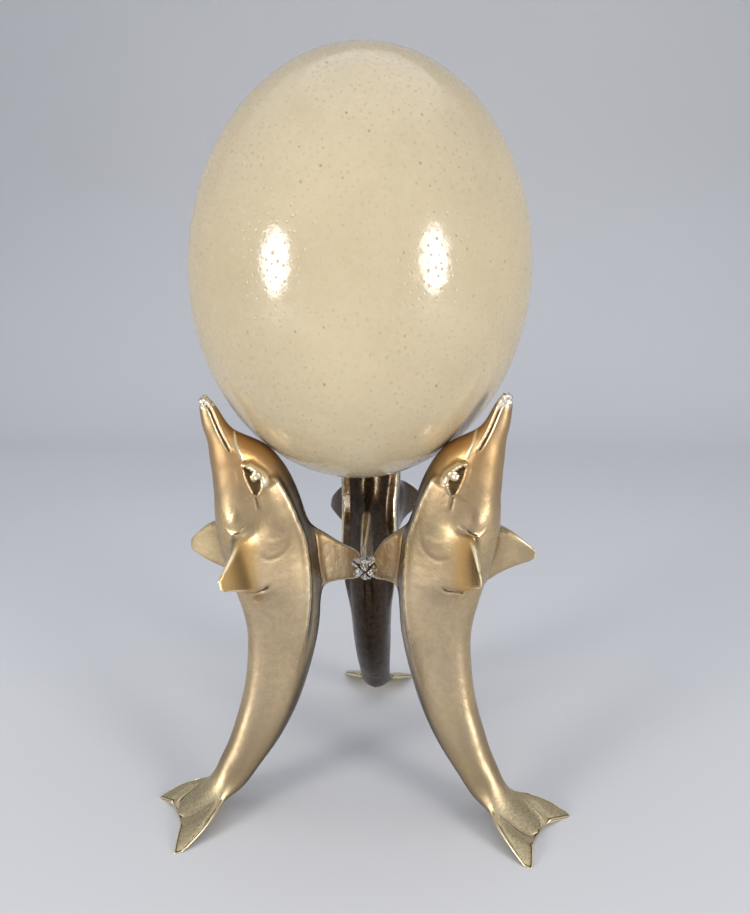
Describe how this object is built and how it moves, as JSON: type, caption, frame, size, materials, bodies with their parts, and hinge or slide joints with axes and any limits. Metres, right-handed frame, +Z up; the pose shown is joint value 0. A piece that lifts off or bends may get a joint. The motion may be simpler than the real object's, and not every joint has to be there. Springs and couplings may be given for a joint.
{
  "type": "ostrich egg on a dolphin stand",
  "caption": "Glossy cream ostrich egg resting on the foreheads of leaping brass dolphins joined at their back fins.",
  "frame": {"origin": "centre of the footprint box, on the surface that the flukes stand on", "axes": "+Z up along the egg, -Y towards the open front between two dolphins, +X to the right seen from the front"},
  "size_m": [0.1582, 0.1461, 0.2816],
  "materials": {
    "eggshell": "gloss",
    "brass": "satin",
    "solder": "gloss"
  },
  "bodies": {
    "root": {"egg": "eggshell", "dolphin_left": "brass", "dolphin_right": "brass", "dolphin_back": "brass", "fin_joint": "solder"}
  },
  "joints": []
}
